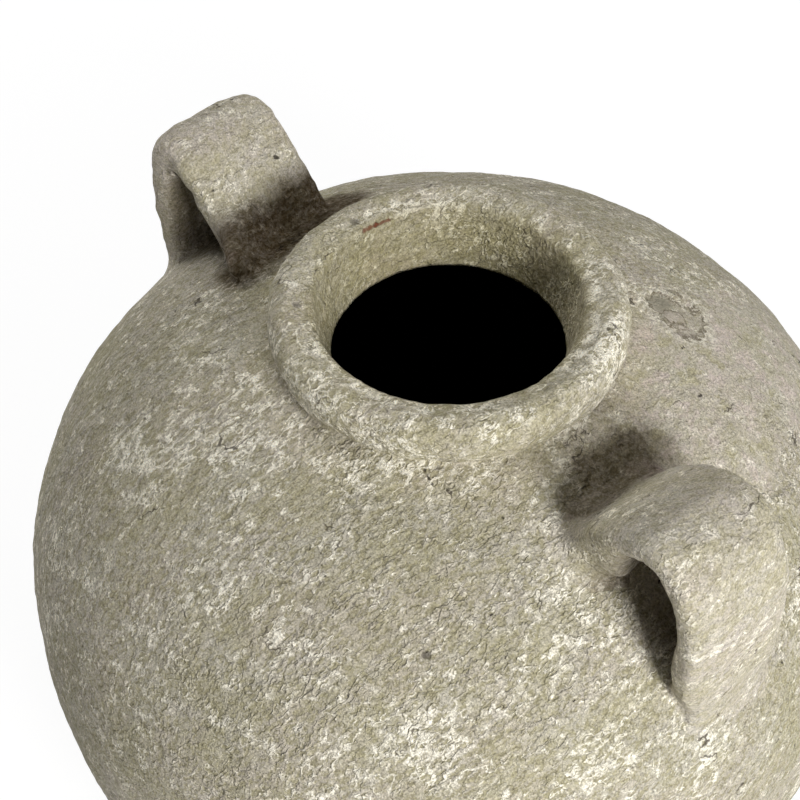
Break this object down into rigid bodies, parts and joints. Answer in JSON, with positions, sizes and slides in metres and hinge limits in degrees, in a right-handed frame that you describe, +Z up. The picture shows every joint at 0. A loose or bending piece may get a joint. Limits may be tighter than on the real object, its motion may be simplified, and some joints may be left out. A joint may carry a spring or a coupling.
{
  "type": "terracotta jar",
  "caption": "Round-bellied terracotta storage jar with a flat base, a short neck, a thick rolled rim and two upright strap handles on the shoulder.",
  "frame": {"origin": "middle of the flat underside, on the surface that the jar stands on", "axes": "+Z up the jar's axis through the mouth, +X towards the right handle, the left handle towards -X"},
  "size_m": [0.38, 0.38, 0.3319],
  "materials": {
    "wall_clay": "rough, unglazed, weathered slip",
    "rim_clay": "rough, unglazed, weathered slip",
    "handle_clay": "rough, unglazed, weathered slip"
  },
  "bodies": {
    "root": {"base_disc": "wall_clay", "foot_band": "wall_clay", "lower_wall": "wall_clay", "lower_belly": "wall_clay", "upper_belly": "wall_clay", "upper_wall": "wall_clay", "shoulder": "wall_clay", "neck_ring": "rim_clay", "rim_roll": "rim_clay", "handle_right": "handle_clay", "handle_left": "handle_clay"}
  },
  "joints": []
}
